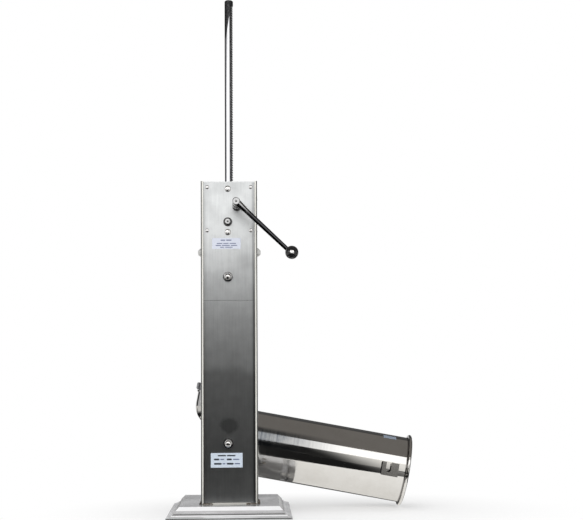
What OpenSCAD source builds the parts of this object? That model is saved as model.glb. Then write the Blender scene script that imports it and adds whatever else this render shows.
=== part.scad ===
// Vertical two-speed sausage stuffer, 7 litre class, with a tilting cylinder.
// Millimetres, +Z up. The origin is the centre of the base's footprint, on the table.
// The operator's crank is on the -Y side. The cylinder stands on the +Y side of the column
// when it works, and is drawn swung down to +X, where it is filled and cleaned.

/* [Base] */
// Width of the raised top plate of the base, along X
base_w = 205; // [190:1:230]
// Length of the raised top plate of the base, along Y
base_l = 240; // [230:1:280]
// Height of the top plate above the table
base_h = 26; // [26:1:34]
// Thickness of the pressed base sheet
base_sheet = 2; // [1.5:0.1:3]
// Radius of a rubber foot
foot_r = 15; // [12:1:20]

/* [Column] */
// Outside width of the column
column_w = 118.8; // [116:0.2:126]
// Place of the column's back face, along Y
column_back_y = -79; // [-82:1:-76]
// Place of the column's front face, along Y
column_front_y = -1; // [-3:0.5:0]
// Height of the column's top edge above the table
column_top = 701.5; // [700:0.5:706]
// Thickness of the column sheet
column_sheet = 2.5; // [2:0.1:3]
// Width of the hemmed edge on each side of the back panels
hem_w = 5.4; // [4:0.2:7]
// Depth of the back panels below the column's back face
panel_recess = 1.5; // [0.5:0.1:2]
// Thickness of the back panels
panel_t = 1.5; // [1:0.1:2]
// Height of the seam between the two back panels
seam_z = 449; // [430:1:470]

/* [Machine axis] */
// Offset of the rack, piston and cylinder axis from the column's centre line
machine_x = -2.5; // [-4:0.5:0]
// Distance of the rack and cylinder axis in front of the base's centre
rack_y = 85; // [85:1:88]

/* [Gear head] */
// Half width of the gear case
case_half = 56; // [54:0.5:56]
// Height of the gear case's underside
case_z0 = 585; // [584:1:586]
// Height of the gear case's top
case_z1 = 695; // [694:0.5:695]
// Wall thickness of the gear case
case_wall = 5; // [4:0.5:5]
// Height of the fast shaft
fast_z = 647; // [645:0.5:649]
// Radius of both drive shafts
shaft_r = 6; // [5.5:0.5:6]
// Running clearance in the bushes, on the radius
run_gap = 0.04; // [0.02:0.01:0.08]

/* [Teeth] */
// Module of the rack and its pinion
rack_m = 1.75; // [1.75]
// Teeth on the rack pinion
pinion_teeth = 14; // [14]
// Module of the two-speed gears
gear_m = 1.5; // [1.5]
// Teeth on the large gear
large_teeth = 38; // [38]
// Teeth on the small gear
small_teeth = 12; // [12]
// Pressure angle of all teeth
tooth_angle = 25; // [25]
// Backlash measured along the pitch line
backlash = 0.16; // [0.1:0.02:0.3]

/* [Crank] */
// Length of the crank from the shaft to the knob
crank_len = 155; // [120:0.5:170]
// Direction of the crank below the horizontal, in degrees
crank_drop = 43.5; // [0:0.5:90]
// Radius of the crank's hub
hub_r = 9; // [8.5:0.5:12]
// Radius of the ball knob
knob_r = 13.5; // [12:0.5:17]

/* [Rack and piston] */
// Radius of the round rack bar
rack_r = 9.5; // [9.5]
// Height of the rack's top end with the piston raised
rack_top = 1136; // [1100:1:1160]
// Height of the piston's underside when it is raised
piston_z = 555; // [555:0.5:558]
// Thickness of the piston
piston_t = 16; // [15:0.5:18]

/* [Cylinder] */
// Inside radius of the cylinder
bore_r = 70; // [70]
// Wall thickness of the cylinder
tube_t = 1; // [0.8:0.1:1.2]
// Height of the tilting pivot above the table
pivot_z = 151.5; // [151.5:0.5:153]
// Distance from the pivot down to the cylinder's closed end
below_pivot = 36; // [34:1:38]
// Distance from the pivot to the open rim
rim_l = 394; // [380:1:394]
// Outside radius of the rolled rim
rim_r = 78; // [77:0.5:79.5]
// How far the cylinder's axis dips below the horizontal, in degrees
tilt = 10.6; // [8:0.1:10.6]
// Distance from the pivot to the latch stud
latch_l = 347; // [343:1:350]

/* [Outlet] */
// Outside radius of the outlet pipe
outlet_r = 21; // [19:0.5:22]
// Wall thickness of the outlet pipe
outlet_t = 1.5; // [1:0.1:2]
// Centre line radius of the outlet bend
bend_r = 30; // [28:1:32]
// Outside radius of the ring nut
ring_r = 26; // [25:0.5:28]

/* [Hidden] */
$fn = 48;
eps = 0.01;

// Column
under_z = base_h - base_sheet - eps;         // underside of the base's top sheet
col_half = column_w / 2;
panel_y = column_back_y + panel_recess;      // outer face of the back panels
panel_in_y = panel_y + panel_t;              // inner face, which rests on the lips
lip_y = panel_in_y + 2;                      // front face of the lips
lip_in = 38;                                 // half opening between the lips
hem_in = col_half - hem_w;                   // inner edge of the hems
panel_half = hem_in - 0.2;
web_y = column_front_y - column_sheet;       // inner face of the web
cover_t = 2;                                 // thickness of the top cover
cover_z = column_top - 3;                    // its underside, below the hems' ends
foot_strip_h = 3.5;                          // strip under the lower back panel

// Gear head
plate_y0 = lip_y;                            // rear plate stands against the lips
plate_y1 = lip_y + 7;
case_y0 = plate_y1;
case_y1 = 112;
partition_y0 = -36;
partition_y1 = -30;
shroud_t = 1.5;
shroud_gap = 0.3;
shroud_y1 = case_y1 + 5.5;
rack_pitch_x = 6.9;                          // rack axis to its pitch line
pinion_r = rack_m * pinion_teeth / 2;
fast_x = machine_x + rack_pitch_x + pinion_r;
gear_centres = gear_m * (large_teeth + small_teeth) / 2;
slow_x = machine_x;
slow_z = fast_z - sqrt(gear_centres^2 - (fast_x - slow_x)^2);
mesh_angle = atan2(slow_z - fast_z, slow_x - fast_x);  // large gear towards small gear
gear_y0 = -58;
gear_y1 = -46;
pinion_y0 = rack_y - 8;
pinion_y1 = rack_y + 8;
shaft_end_y = -175;
slow_end_y = -92;
stub_groove_y = -81.5;                        // relief groove behind the slow shaft's drive stub
bush_r = 8;
bush_flange_r = 9.2;
bush_flange_t = 3;
key_w = 4;

// Screws: corner screws at [x, z], large screws on the machine axis
corner_x = 46;
corner_z = [688.5, 596.5];
large_z = [685, 593];
corner_shank = 2;
large_shank = 3;
corner_len = 26;

// Crank
arm_y = -167;
hub_y0 = -176;
hub_y1 = -112;
arm_end = [fast_x + crank_len * cos(crank_drop), fast_z - crank_len * sin(crank_drop)];
boss_y = arm_y - 5.5;                        // face of the arm's end boss
knob_flat = 12.5;                            // knob centre to its seat
knob_y = boss_y - 0.3 - knob_flat;
stud_r = 5;
stud_head_y = knob_y - 7.5;
stud_head_r = 5.8;

// Rack and piston
tooth_pitch = PI * rack_m;
rack_foot = piston_z + piston_t;
piston_r = bore_r - 3;
seal_r = bore_r - 0.2;
groove_r = 60;
valve_x = machine_x - 34;
valve_y = rack_y - 20;
valve_r = 4;                                 // stem of the air valve
valve_disc_r = 10;
valve_seat = 5.5;                            // seat of its disc above the piston's underside
valve_boss_r = 13;
spring_z0 = 11;                              // spring seat in the boss
spring_z1 = 18;                              // underside of the button

// Cylinder, in its own frame: origin at the pivot, Z along the axis towards the rim
tube_r = bore_r + tube_t;
swing = 90 + tilt;
bead_r = 3.5;
bracket_y0 = 2;
bracket_y1 = 6;
pivot_shoulder_r = 8;
latch_r = 5;
through_r = 5;
outlet_x = 36.8;                             // outlet inlet, off the axis
outlet_z = -below_pivot - 1;                 // level where the bend starts
bend_x = -outlet_x - bend_r;
pipe_end = -104.8;
ring_x0 = -109.3;
ring_x1 = -94.6;

// ---------------------------------------------------------------- shared shapes

// Extrudes a shape drawn in X and Z from y0 to y1.
module along_y(y0, y1) {
    translate([0, y1, 0]) rotate([90, 0, 0]) linear_extrude(height = y1 - y0) children();
}

// Round bar along Y, centred on [x, z].
module bar_y(x, z, r, y0, y1) {
    along_y(y0, y1) translate([x, z]) circle(r = r);
}

// Ring along Y with a bore.
module ring_y(x, z, r, bore, y0, y1) {
    along_y(y0, y1) translate([x, z]) difference() {
        circle(r = r);
        circle(r = bore);
    }
}

// Box between two corners.
module box(a, b) {
    translate(a) cube(b - a);
}

// Hexagon prism along Y, across flats af.
module hex_y(x, z, af, y0, y1) {
    along_y(y0, y1) translate([x, z]) circle(r = af / sqrt(3), $fn = 6);
}

// Pan head screw whose head sits on the face y = face and whose shank runs to +Y.
module pan_screw_y(x, z, head_r, head_t, shank_r, face, len) {
    difference() {
        union() {
            translate([x, face, z]) rotate([90, 0, 0]) rotate_extrude() polygon(concat(
                [[0, 0], [head_r, 0]],
                [for (i = [0:6]) [head_r * cos(i * 13), head_t * (0.35 + 0.65 * sin(i * 13))]],
                [[0, head_t]]));
            bar_y(x, z, shank_r, face - eps, face + len);
        }
        for (a = [0, 90]) translate([x, face - head_t, z]) rotate([0, a + 20, 0])
            cube([head_r * 1.1, 1.2, 0.9], center = true);
    }
}

// Points of an arc, for outlines.
function arc(cx, cy, r, a0, a1, n = 6) =
    [for (i = [0:n]) [cx + r * cos(a0 + (a1 - a0) * i / n), cy + r * sin(a0 + (a1 - a0) * i / n)]];

// Involute teeth.
function inv(a) = tan(a) - a * PI / 180;
function base_circle(m, z) = m * z / 2 * cos(tooth_angle);
// Half the angle that a tooth fills at radius r, in degrees.
function tooth_half(m, z, r) =
    (PI / 2 / z - backlash / (2 * m * z) + inv(tooth_angle)
        - inv(acos(min(1, base_circle(m, z) / r)))) * 180 / PI;
// Radii spaced evenly from r0 to r1, at which a tooth's flank is drawn.
function flank_radii(r0, r1, n) = [for (i = [0:n]) r0 + (r1 - r0) * i / n];
// Outline of a gear whose first tooth points along angle a0.
function gear_points(m, z, a0) =
    let (tip = m * z / 2 + 0.97 * m, root = m * z / 2 - 1.25 * m,
        low = max(root + 0.05, base_circle(m, z)), rs = flank_radii(low, tip, 4))
    [for (k = [0:z - 1]) let (c = a0 + 360 * k / z)
        each concat(
            [root * [cos(c - tooth_half(m, z, low)), sin(c - tooth_half(m, z, low))]],
            [for (r = rs) r * [cos(c - tooth_half(m, z, r)), sin(c - tooth_half(m, z, r))]],
            [for (i = [4:-1:0]) let (r = rs[i])
                r * [cos(c + tooth_half(m, z, r)), sin(c + tooth_half(m, z, r))]],
            [root * [cos(c + tooth_half(m, z, low)), sin(c + tooth_half(m, z, low))]])];

// ---------------------------------------------------------------- base

// Outward reach and height of the pressed skirt, from the top plate down.
skirt = [[0, base_h], [8.5, base_h - 9], [10.5, base_h - 13.5], [16.7, base_h - 17.5],
    [25.7, base_h - 20.5], [25.7, 1.5]];

// Half outline of the tray across one axis, moved in and down by one sheet.
function tray_half(half, t) =
    [for (p = skirt) [half + p[0] - t, p[1] - (p[1] > 2 ? t : 0)]];
function tray_outline(half, t) =
    let (h = tray_half(half, t), n = len(h) - 1)
    concat(h, [for (i = [n:-1:0]) [-h[i][0], h[i][1]]]);

// Solid block with the tray's stepped sides and mitred corners.
module tray_block(t) {
    reach = base_l + 60;
    intersection() {
        along_y(-reach, reach) polygon(tray_outline(base_w / 2, t));
        translate([-reach, 0, 0]) rotate([90, 0, 90]) linear_extrude(height = 2 * reach)
            polygon(tray_outline(base_l / 2, t));
    }
}

foot_x = base_w / 2 - foot_r - 6;
foot_y = base_l / 2 - foot_r - 6;
module at_feet() {
    for (sx = [-1, 1], sy = [-1, 1]) translate([sx * foot_x, sy * foot_y, 0]) children();
}

module base_tray() color("silver") {
    difference() {
        tray_block(0);
        translate([0, 0, -eps]) tray_block(base_sheet);
    }
    // weld studs for the feet and for the pad under the middle
    at_feet() translate([0, 0, 8]) cylinder(r = 3, h = base_h - base_sheet - 8);
    translate([0, 0, under_z - 12]) cylinder(r = 3, h = 12 + eps);
}

module base_feet() color("dimgray") at_feet() difference() {
    union() {
        cylinder(r1 = foot_r - 2, r2 = foot_r, h = 4);
        translate([0, 0, 4]) cylinder(r = foot_r, h = under_z - 4);
    }
    translate([0, 0, -1]) cylinder(r = 3.1, h = base_h);
    translate([0, 0, -1]) cylinder(r = 8, h = 15);
}

// Solid pad under the column, pushed on a stud from below.
module centre_pad() color("dimgray") difference() {
    union() {
        cylinder(r1 = foot_r - 2, r2 = foot_r, h = 4);
        translate([0, 0, 4]) cylinder(r = foot_r, h = under_z - 4);
    }
    translate([0, 0, under_z - 13]) cylinder(r = 3.1, h = 20);
}

module foot_nuts() color("gainsboro") at_feet() difference() {
    union() {
        translate([0, 0, 12.5]) cylinder(r = 7.5, h = 1.5);
        translate([0, 0, 7.5]) cylinder(r = 10 / sqrt(3), h = 5 + eps, $fn = 6);
    }
    translate([0, 0, 5]) cylinder(r = 3, h = 12);
}

// ---------------------------------------------------------------- column

// Half section of the column, on the +X side, from the web's front round to its inner face.
function column_half() = concat(
    arc(col_half - 3, column_front_y - 3, 3, 90, 0),
    arc(col_half - 2.5, column_back_y + 2.5, 2.5, 0, -90),
    [[col_half - hem_w, column_back_y], [col_half - hem_w, panel_in_y], [lip_in, panel_in_y],
     [lip_in, lip_y], [col_half - column_sheet, lip_y], [col_half - column_sheet, web_y]]);
function column_section() =
    let (half = column_half(), n = len(half) - 1)
    concat(half, [for (i = [n:-1:0]) [-half[i][0], half[i][1]]]);

module column_channel() color("lightgray") difference() {
    union() {
        translate([0, 0, base_h]) linear_extrude(height = column_top - base_h) polygon(column_section());
        box([-hem_in - 1, column_back_y, base_h], [hem_in + 1, lip_y, base_h + foot_strip_h]);
    }
    // the top cover lies between the hems, over the lips
    box([-hem_in, column_back_y + 0.2, cover_z], [hem_in, lip_y + 0.1, column_top + 1]);
    // opening in the web for the gear head
    box([-case_half - 0.4, web_y - 1, case_z0 - 3], [case_half + 0.4, column_front_y + 1, column_top + 1]);
    for (z = [pivot_z, pivot_z + latch_l]) bar_y(machine_x, z, through_r + 0.1, web_y - 1, 1);
    for (sx = [-1, 1], z = corner_z)
        bar_y(sx * corner_x, z, corner_shank + 0.1, panel_in_y - 1, lip_y + 1);
}

// Fillet bead along a foot edge, drawn across its own section.
module bead(len, w) {
    linear_extrude(height = len) polygon(concat([[0, 0], [w, 0]], arc(w, w, w * 0.72, 265, 185, 4), [[0, w]]));
}

module foot_welds() color("peru") {
    span = 70;
    for (s = [0, 1]) mirror([s, 0, 0]) {
        translate([col_half, column_back_y + 4 + span, base_h]) rotate([90, 0, 0]) bead(span, 4);
        translate([col_half - 3 - 22, column_front_y, base_h]) rotate([90, 0, 90]) bead(22, 4);
        translate([col_half - 3, column_back_y, base_h]) rotate([90, 0, -90]) bead(22, 3);
    }
}

// One back panel between two heights; the children are cut out of it.
module back_panel(z0, z1) {
    difference() {
        box([-panel_half, panel_y, z0], [panel_half, panel_in_y, z1]);
        children();
    }
}

module upper_back_panel() color("lightgray") back_panel(seam_z + 0.3, cover_z) {
    for (sx = [-1, 1], z = corner_z)
        bar_y(sx * corner_x, z, corner_shank + 0.1, panel_y - 1, panel_in_y + 1);
    for (z = large_z) bar_y(machine_x, z, large_shank + 0.1, panel_y - 1, panel_in_y + 1);
    bar_y(fast_x, fast_z, bush_r + 0.1, panel_y - 1, panel_in_y + 1);
    bar_y(slow_x, slow_z, bush_r + 0.1, panel_y - 1, panel_in_y + 1);
    bar_y(machine_x, pivot_z + latch_l, through_r + 0.1, panel_y - 1, panel_in_y + 1);
}

module lower_back_panel() color("lightgray") back_panel(base_h + foot_strip_h + 0.3, seam_z - 0.3) {
    bar_y(machine_x, pivot_z, through_r + 0.1, panel_y - 1, panel_in_y + 1);
}

module corner_screws() color("gainsboro") for (sx = [-1, 1], z = corner_z)
    pan_screw_y(sx * corner_x, z, 4.2, 2.4, corner_shank, panel_y, corner_len);

module case_bolts() color("white") for (z = large_z)
    pan_screw_y(machine_x, z, 6.7, 3.6, large_shank, panel_y, plate_y1 - panel_y);

module cap_washers() color("silver") for (z = [pivot_z, pivot_z + latch_l])
    ring_y(machine_x, z, 10.5, through_r + 0.1, panel_y - 1.5, panel_y);

// Domed nut on the back panel, blind bore for the bolt.
module cap_nut(x, z) {
    face = panel_y - 1.5;
    difference() {
        union() {
            hex_y(x, z, 17, face - 8, face);
            translate([x, face - 8, z]) rotate([90, 0, 0]) rotate_extrude()
                polygon(concat([[0, -1]], arc(0, 0, 8, 0, 90, 12)));
        }
        bar_y(x, z, through_r, face - 10, face + 1);
    }
}
module cap_nuts() color("white") for (z = [pivot_z, pivot_z + latch_l]) cap_nut(machine_x, z);

module through_spacers() color("silver") for (z = [pivot_z, pivot_z + latch_l])
    ring_y(machine_x, z, 8, through_r + 0.1, panel_in_y, web_y);

module pivot_bolt() color("silver") {
    bar_y(machine_x, pivot_z, through_r, panel_y - 9.5, column_front_y + eps);
    bar_y(machine_x, pivot_z, pivot_shoulder_r, column_front_y, bracket_y1 + 0.1);
    hex_y(machine_x, pivot_z, 19, bracket_y1 + 0.1 - eps, bracket_y1 + 5);
}

module pivot_washer() color("gainsboro")
    ring_y(machine_x, pivot_z, 14, pivot_shoulder_r + 0.05, column_front_y, bracket_y0 - 0.1);

module latch_stud() color("silver") {
    z = pivot_z + latch_l;
    bar_y(machine_x, z, through_r, panel_y - 9.5, column_front_y + eps);
    bar_y(machine_x, z, 9, column_front_y, bracket_y0 - 0.2);
    bar_y(machine_x, z, latch_r, bracket_y0 - 0.2 - eps, bracket_y1 + 0.2);
    translate([machine_x, bracket_y1 + 0.2, z]) rotate([-90, 0, 0]) rotate_extrude()
        polygon([[0, -eps], [9, -eps], [9, 2.4], [7.6, 4], [0, 4]]);
}

module label_plate(x, z, w, h) {
    box([x - w / 2, panel_y - 0.4, z - h / 2], [x + w / 2, panel_y, z + h / 2]);
}
module upper_label() color("lavender") label_plate(-5.5, 569, 60, 23);
module lower_label() color("aliceblue") label_plate(-6, 116.5, 66, 30);

// ---------------------------------------------------------------- gear head

module case_rear_plate() color("darkgray") difference() {
    box([-case_half + 1, plate_y0, case_z0], [case_half - 1, plate_y1, case_z1]);
    bar_y(fast_x, fast_z, bush_r, plate_y0 - 1, plate_y1 + 1);
    bar_y(slow_x, slow_z, bush_r, plate_y0 - 1, plate_y1 + 1);
    for (z = large_z) bar_y(machine_x, z, large_shank, plate_y0 - 1, plate_y1 + 1);
    for (sx = [-1, 1], z = corner_z)
        bar_y(sx * corner_x, z, corner_shank + 0.1, plate_y0 - 1, plate_y1 + 1);
}

pillar = [40, 40];                           // pillars that carry the top cover: x and y
rack_bush_r = 13;

module gear_case() color("darkgray") difference() {
    union() {
        difference() {
            box([-case_half, case_y0, case_z0], [case_half, case_y1, case_z1]);
            box([-case_half + case_wall, case_y0 - 1, case_z0 + case_wall],
                [case_half - case_wall, partition_y0, case_z1 - case_wall]);
            box([-case_half + case_wall, partition_y1, case_z0 + case_wall],
                [case_half - case_wall, case_y1 - case_wall, case_z1 - case_wall]);
        }
        for (sx = [-1, 1], z = corner_z) bar_y(sx * corner_x, z, 6, case_y0, case_y0 + 20);
        for (sx = [-1, 1]) translate([sx * pillar[0], pillar[1], case_z1 - eps])
            cylinder(r = 5, h = cover_z - case_z1 + eps);
    }
    bar_y(fast_x, fast_z, bush_r, case_y1 - case_wall - 1, case_y1 + 1);
    bar_y(fast_x, fast_z, bush_r + 3, partition_y0 - 1, partition_y1 + 1);
    bar_y(slow_x, slow_z, bush_r, partition_y0 - 1, partition_y1 + 1);
    translate([machine_x, rack_y, case_z0 - 1]) cylinder(r = rack_bush_r, h = case_z1 - case_z0 + 2);
    for (sx = [-1, 1], z = corner_z)
        bar_y(sx * corner_x, z, corner_shank, case_y0 - 1, case_y0 + 18);
    for (sx = [-1, 1]) translate([sx * pillar[0], pillar[1], case_z1 - 4])
        cylinder(r = 2, h = 12);
    for (sx = [-1, 1], z = shroud_screw_z) translate([sx * (case_half - case_wall - 1), shroud_screw_y, z])
        rotate([0, sx * 90, 0]) cylinder(r = 2, h = case_wall + 2);
}

shroud_screw_y = 60;
shroud_screw_z = [607, 679];
shroud_half = case_half + shroud_gap + shroud_t;

module head_shroud() color("lightgray") difference() {
    translate([0, 0, case_z0 - 2]) linear_extrude(height = cover_z - case_z0 + 2) difference() {
        polygon(concat([[-shroud_half, column_front_y], [shroud_half, column_front_y]],
            arc(shroud_half - 4, shroud_y1 - 4, 4, 0, 90), arc(-shroud_half + 4, shroud_y1 - 4, 4, 90, 180)));
        polygon(concat([[-shroud_half + shroud_t, -20], [shroud_half - shroud_t, -20]],
            arc(shroud_half - 4, shroud_y1 - 4, 4 - shroud_t, 0, 90),
            arc(-shroud_half + 4, shroud_y1 - 4, 4 - shroud_t, 90, 180)));
    }
    for (sx = [-1, 1], z = shroud_screw_z) translate([sx * (shroud_half - 3), shroud_screw_y, z])
        rotate([0, sx * 90, 0]) cylinder(r = 2.1, h = 6);
}

module shroud_screws() color("gainsboro") for (sx = [-1, 1], z = shroud_screw_z)
    translate([sx * shroud_half, shroud_screw_y, z]) rotate([0, 0, sx * 90])
        pan_screw_y(0, 0, 4.2, 2.4, 2, 0, shroud_half - case_half + 5);

cover_front = shroud_y1 + 1;
cover_in = case_half + 0.1;
// Outline of the top cover's +X half, from its back edge to its front.
function cover_half() = concat(
    [[hem_in - 0.3, panel_y], [hem_in - 0.3, lip_y + 0.3], [cover_in, lip_y + 0.3],
     [cover_in, column_front_y + 0.2], [col_half, column_front_y + 0.2]],
    arc(col_half - 4, cover_front - 4, 4, 0, 90));
module top_cover() color("lightgray") difference() {
    translate([0, 0, cover_z]) linear_extrude(height = cover_t) polygon(
        let (half = cover_half(), n = len(half) - 1)
        concat(half, [for (i = [n:-1:0]) [-half[i][0], half[i][1]]]));
    translate([machine_x, rack_y, cover_z - 1]) cylinder(r = rack_r + 2.5, h = 4);
    for (sx = [-1, 1]) translate([sx * pillar[0], pillar[1], cover_z - 1]) cylinder(r = 2.1, h = 4);
}

module cover_screws() color("gainsboro") for (sx = [-1, 1])
    translate([sx * pillar[0], pillar[1], cover_z + cover_t]) rotate([-90, 0, 0])
        pan_screw_y(0, 0, 4.2, 2.4, 2, 0, 8);

// Flanged bush for the rack; the flange is at the case's outer face.
module rack_bush_top() color("goldenrod") translate([machine_x, rack_y, 0]) difference() {
    union() {
        translate([0, 0, case_z1 - case_wall]) cylinder(r = rack_bush_r, h = case_wall + eps);
        translate([0, 0, case_z1]) cylinder(r = rack_bush_r + 3, h = 2.5);
    }
    translate([0, 0, case_z1 - 10]) cylinder(r = rack_r + run_gap, h = 20);
}
module rack_bush_bottom() color("goldenrod") translate([machine_x, rack_y, 0]) difference() {
    union() {
        translate([0, 0, case_z0 - eps]) cylinder(r = rack_bush_r, h = case_wall + eps);
        translate([0, 0, case_z0 - 2]) cylinder(r = rack_bush_r + 3, h = 2);
    }
    translate([0, 0, case_z0 - 10]) cylinder(r = rack_r + run_gap, h = 30);
}

// Flanged bush for a shaft along Y: barrel from y0 to y1, flange on its -Y end.
module shaft_bush(x, z, y0, y1, flange_t) {
    difference() {
        union() {
            bar_y(x, z, bush_r, y0 - eps, y1);
            bar_y(x, z, bush_flange_r, y0 - flange_t, y0);
        }
        bar_y(x, z, shaft_r + run_gap, y0 - 20, y1 + 20);
    }
}
module fast_rear_bush() color("dimgray")
    shaft_bush(fast_x, fast_z, panel_y, plate_y1, bush_flange_t);
module slow_rear_bush() color("dimgray")
    shaft_bush(slow_x, slow_z, panel_y, plate_y1, bush_flange_t);
module fast_front_bush() color("goldenrod")
    shaft_bush(fast_x, fast_z, case_y1 - case_wall, case_y1, 2);
module slow_front_bush() color("goldenrod")
    shaft_bush(slow_x, slow_z, partition_y0, partition_y1, 2);

// ---------------------------------------------------------------- fast drive

key_len = 10;
module key(x, z, y) {
    box([x - key_w / 2, y - key_len / 2, z + shaft_r - 2.5], [x + key_w / 2, y + key_len / 2, z + shaft_r + 1.8]);
}
gear_mid = (gear_y0 + gear_y1) / 2;
module drive_keys() color("silver") {
    key(fast_x, fast_z, gear_mid);
    key(fast_x, fast_z, rack_y);
}

// Lathe centre in a shaft end that faces -Y.
module centre_drill(x, z, y) {
    translate([x, y - eps, z]) rotate([-90, 0, 0]) cylinder(r1 = 2.4, r2 = 0.3, h = 2.6);
}
module fast_shaft() color("silver") difference() {
    bar_y(fast_x, fast_z, shaft_r, shaft_end_y, case_y1 + 3);
    centre_drill(fast_x, fast_z, shaft_end_y);
    key(fast_x, fast_z, gear_mid);
    key(fast_x, fast_z, rack_y);
    ring_y(fast_x, fast_z, shaft_r + 1, shaft_r - 1, case_y1 + 0.4, case_y1 + 1.6);
}

module fast_shaft_clip() color("gray")
    ring_y(fast_x, fast_z, shaft_r + 3, shaft_r - 1, case_y1 + 0.45, case_y1 + 1.55);

// Keyway through a gear hub.
module keyway(x, z, y0, y1) {
    box([x - key_w / 2, y0, z], [x + key_w / 2, y1, z + shaft_r + 1.8]);
}

module rack_pinion() color("gray") difference() {
    along_y(pinion_y0, pinion_y1) translate([fast_x, fast_z])
        polygon(gear_points(rack_m, pinion_teeth, 180));
    bar_y(fast_x, fast_z, shaft_r, pinion_y0 - 1, pinion_y1 + 1);
    keyway(fast_x, fast_z, pinion_y0 - 1, pinion_y1 + 1);
}

module fast_gear() color("gray") difference() {
    union() {
        along_y(gear_y0, gear_y1) translate([fast_x, fast_z])
            polygon(gear_points(gear_m, large_teeth, mesh_angle));
        bar_y(fast_x, fast_z, 12, gear_y1 - 1, gear_y1 + 6);
    }
    bar_y(fast_x, fast_z, shaft_r, gear_y0 - 1, gear_y1 + 7);
    keyway(fast_x, fast_z, gear_y0 - 1, gear_y1 + 7);
    for (a = [0:60:300]) bar_y(fast_x + 19 * cos(a), fast_z + 19 * sin(a), 4, gear_y0 - 1, gear_y1 + 1);
}

module crank_arm() color("silver") difference() {
    union() {
        translate([fast_x, 0, fast_z]) rotate([90, 0, 0]) rotate_extrude() polygon([
            [0, -hub_y1], [hub_r - 1, -hub_y1], [hub_r, -hub_y1 + 1], [hub_r, -hub_y1 + 16],
            [hub_r - 1.2, -hub_y1 + 20], [hub_r - 1.2, -hub_y0 - 0.8], [hub_r - 2, -hub_y0], [0, -hub_y0]]);
        translate([fast_x, arm_y, fast_z]) rotate([0, 90 + crank_drop, 0]) {
            cylinder(r1 = 7.6, r2 = 5.2, h = 30);
            cylinder(r1 = 5.5, r2 = 4.3, h = crank_len);
        }
        bar_y(arm_end[0], arm_end[1], 7, boss_y, boss_y + 11);
    }
    bar_y(fast_x, fast_z, shaft_r, hub_y0 - 1, hub_y1 + 1);
    bar_y(arm_end[0], arm_end[1], 4, boss_y - 1, boss_y + 12);
    translate([fast_x, hub_y1 - 12, fast_z]) cylinder(r = 2.5, h = 20);
}

module crank_set_screw() color("dimgray") translate([fast_x, hub_y1 - 12, fast_z]) difference() {
    intersection() {
        cylinder(r = 2.5, h = hub_r - 0.6);
        difference() {
            cylinder(r = 6, h = 20);
            bar_y(0, 0, shaft_r, -10, 10);
        }
    }
    translate([0, 0, hub_r - 2.2]) cylinder(r = 1.4, h = 3, $fn = 6);
}

module knob_stud() color("silver") difference() {
    union() {
        bar_y(arm_end[0], arm_end[1], 4, boss_y - eps, boss_y + 10);
        bar_y(arm_end[0], arm_end[1], stud_r, stud_head_y - eps, boss_y);
        translate([arm_end[0], stud_head_y, arm_end[1]]) rotate([90, 0, 0]) rotate_extrude()
            polygon([[0, 0], [stud_head_r, 0], [stud_head_r, 1], [5.3, 2.1], [4.2, 3], [2.8, 3.5], [0, 3.7]]);
    }
    hex_y(arm_end[0], arm_end[1], 4, stud_head_y - 4, stud_head_y - 1.4);
}

// Ball turned with a flat seat, a bore for the stud and a recess for its head.
module ball_knob() color("black") {
    seat_r = sqrt(knob_r^2 - knob_flat^2);
    bore = stud_r + 0.05;
    recess_r = stud_head_r + 0.3;
    recess_z = knob_y - stud_head_y - 0.1;
    translate([arm_end[0], knob_y, arm_end[1]]) rotate([90, 0, 0]) rotate_extrude() polygon(concat(
        [[bore, -knob_flat], [seat_r, -knob_flat]],
        arc(0, 0, knob_r, -acos(seat_r / knob_r), acos(recess_r / knob_r), 16),
        [[recess_r, recess_z], [bore, recess_z]]));
}

// ---------------------------------------------------------------- slow drive

pin_y = gear_y1 + 3;
clip_y = [plate_y1 + 0.4, partition_y0 - 3.6];
module slow_shaft() color("silver") difference() {
    translate([slow_x, 0, slow_z]) rotate([90, 0, 0]) rotate_extrude() polygon([
        [0, -partition_y1], [shaft_r, -partition_y1], [shaft_r, -slow_end_y - 1],
        [shaft_r - 1, -slow_end_y], [0, -slow_end_y]]);
    centre_drill(slow_x, slow_z, slow_end_y);
    ring_y(slow_x, slow_z, shaft_r + 1, shaft_r - 0.6, stub_groove_y, stub_groove_y + 0.9);
    for (y = clip_y) ring_y(slow_x, slow_z, shaft_r + 1, shaft_r - 1, y, y + 1.2);
    translate([slow_x, pin_y, slow_z - 20]) cylinder(r = 1.5, h = 40);
}

module slow_gear() color("gray") difference() {
    union() {
        along_y(gear_y0, gear_y1) translate([slow_x, slow_z])
            polygon(gear_points(gear_m, small_teeth, mesh_angle + 180 + 180 / small_teeth));
        bar_y(slow_x, slow_z, 9, gear_y1 + 0.4, gear_y1 + 6);
        bar_y(slow_x, slow_z, 7.2, gear_y1 - 1, gear_y1 + 1);
    }
    bar_y(slow_x, slow_z, shaft_r, gear_y0 - 1, gear_y1 + 7);
    translate([slow_x, pin_y, slow_z - 20]) cylinder(r = 1.5, h = 40);
}

module slow_gear_pin() color("silver")
    translate([slow_x, pin_y, slow_z - 8.8]) cylinder(r = 1.5, h = 17.6);

module slow_shaft_clips() color("gray") for (y = clip_y)
    ring_y(slow_x, slow_z, shaft_r + 2.5, shaft_r - 1, y + 0.05, y + 1.15);

// ---------------------------------------------------------------- rack and piston

rack_flat_low = 25;                          // plain length above the piston
rack_flat_high = 12;                         // plain length at the top
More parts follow.
